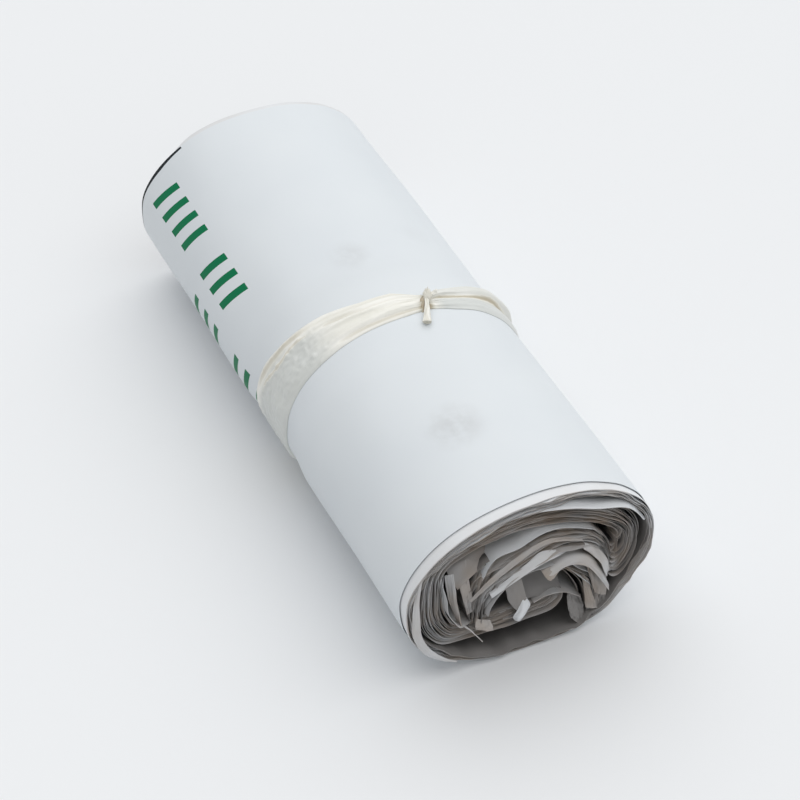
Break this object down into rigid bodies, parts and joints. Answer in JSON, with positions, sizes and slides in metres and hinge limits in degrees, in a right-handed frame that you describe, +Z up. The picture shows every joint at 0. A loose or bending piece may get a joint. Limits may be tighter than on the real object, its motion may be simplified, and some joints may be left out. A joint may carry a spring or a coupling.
{
  "type": "roll of poly mailers",
  "caption": "Roll of flat film mailing bags, squashed to an oval and folded back on itself inside, open at both ends and tied round the middle with a knotted strip of film.",
  "frame": {"origin": "centre of the roll's footprint, on the surface that it rests on", "axes": "+X along the roll to the end that the picture shows, +Z up, the knot on top"},
  "size_m": [0.2628, 0.1053, 0.0775],
  "materials": {
    "mailer_film": "satin white polyethylene film",
    "tie_film": "thin cream polyethylene film"
  },
  "bodies": {
    "root": {"mailer_roll": "mailer_film", "film_tie": "tie_film"}
  },
  "joints": []
}
